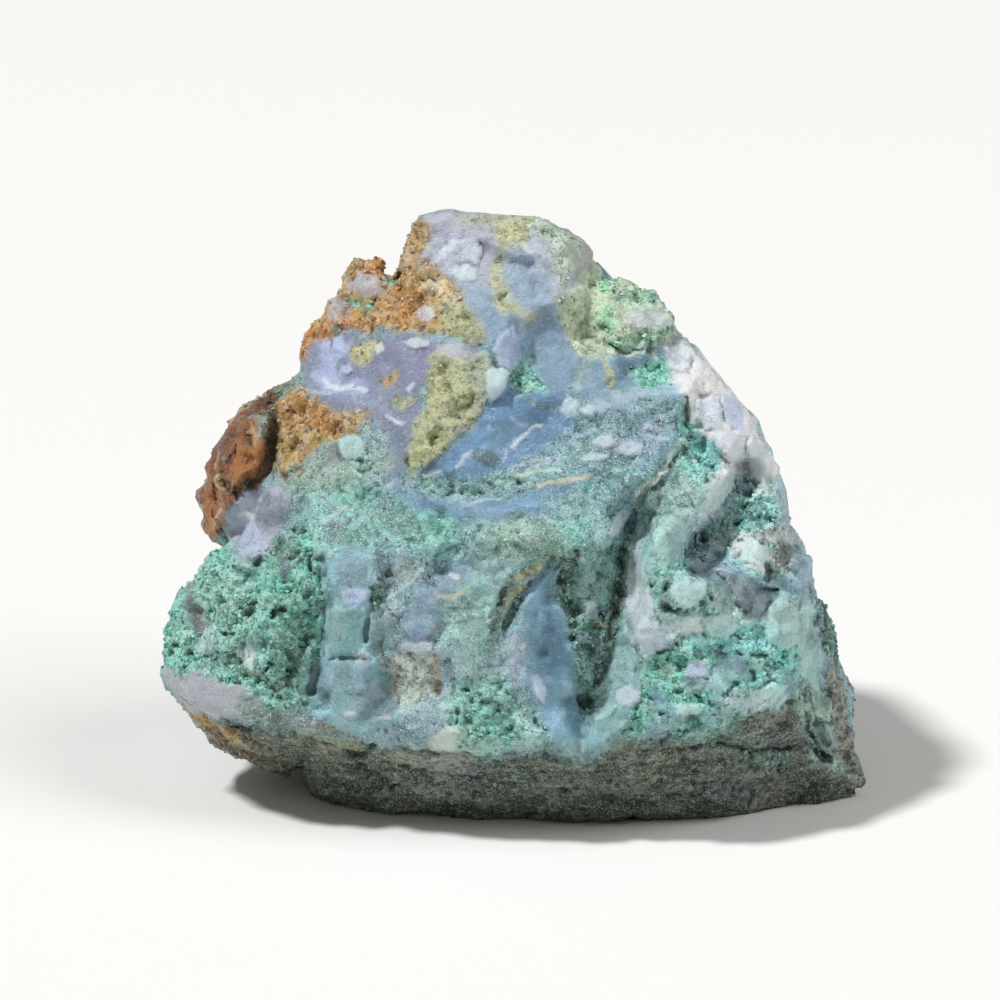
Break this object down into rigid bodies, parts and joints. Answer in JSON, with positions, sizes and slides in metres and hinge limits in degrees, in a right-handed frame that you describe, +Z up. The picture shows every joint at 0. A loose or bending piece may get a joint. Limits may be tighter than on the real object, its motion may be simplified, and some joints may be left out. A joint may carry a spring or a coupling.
{
  "type": "moss agate specimen",
  "caption": "Rough, broken piece of moss agate with green moss crust, blue chalcedony, rust crust and white quartz, at rest on a flat spot.",
  "frame": {"origin": "under the middle of the bounding box, on the plane that the stone rests on", "axes": "+X along the stone's width, to the right of a viewer of the show side; +Y from the show side to the back; +Z up"},
  "size_m": [0.0438, 0.0296, 0.0353],
  "materials": {
    "moss_agate": "rough, broken"
  },
  "bodies": {
    "root": {"moss_agate": "moss_agate"}
  },
  "joints": []
}
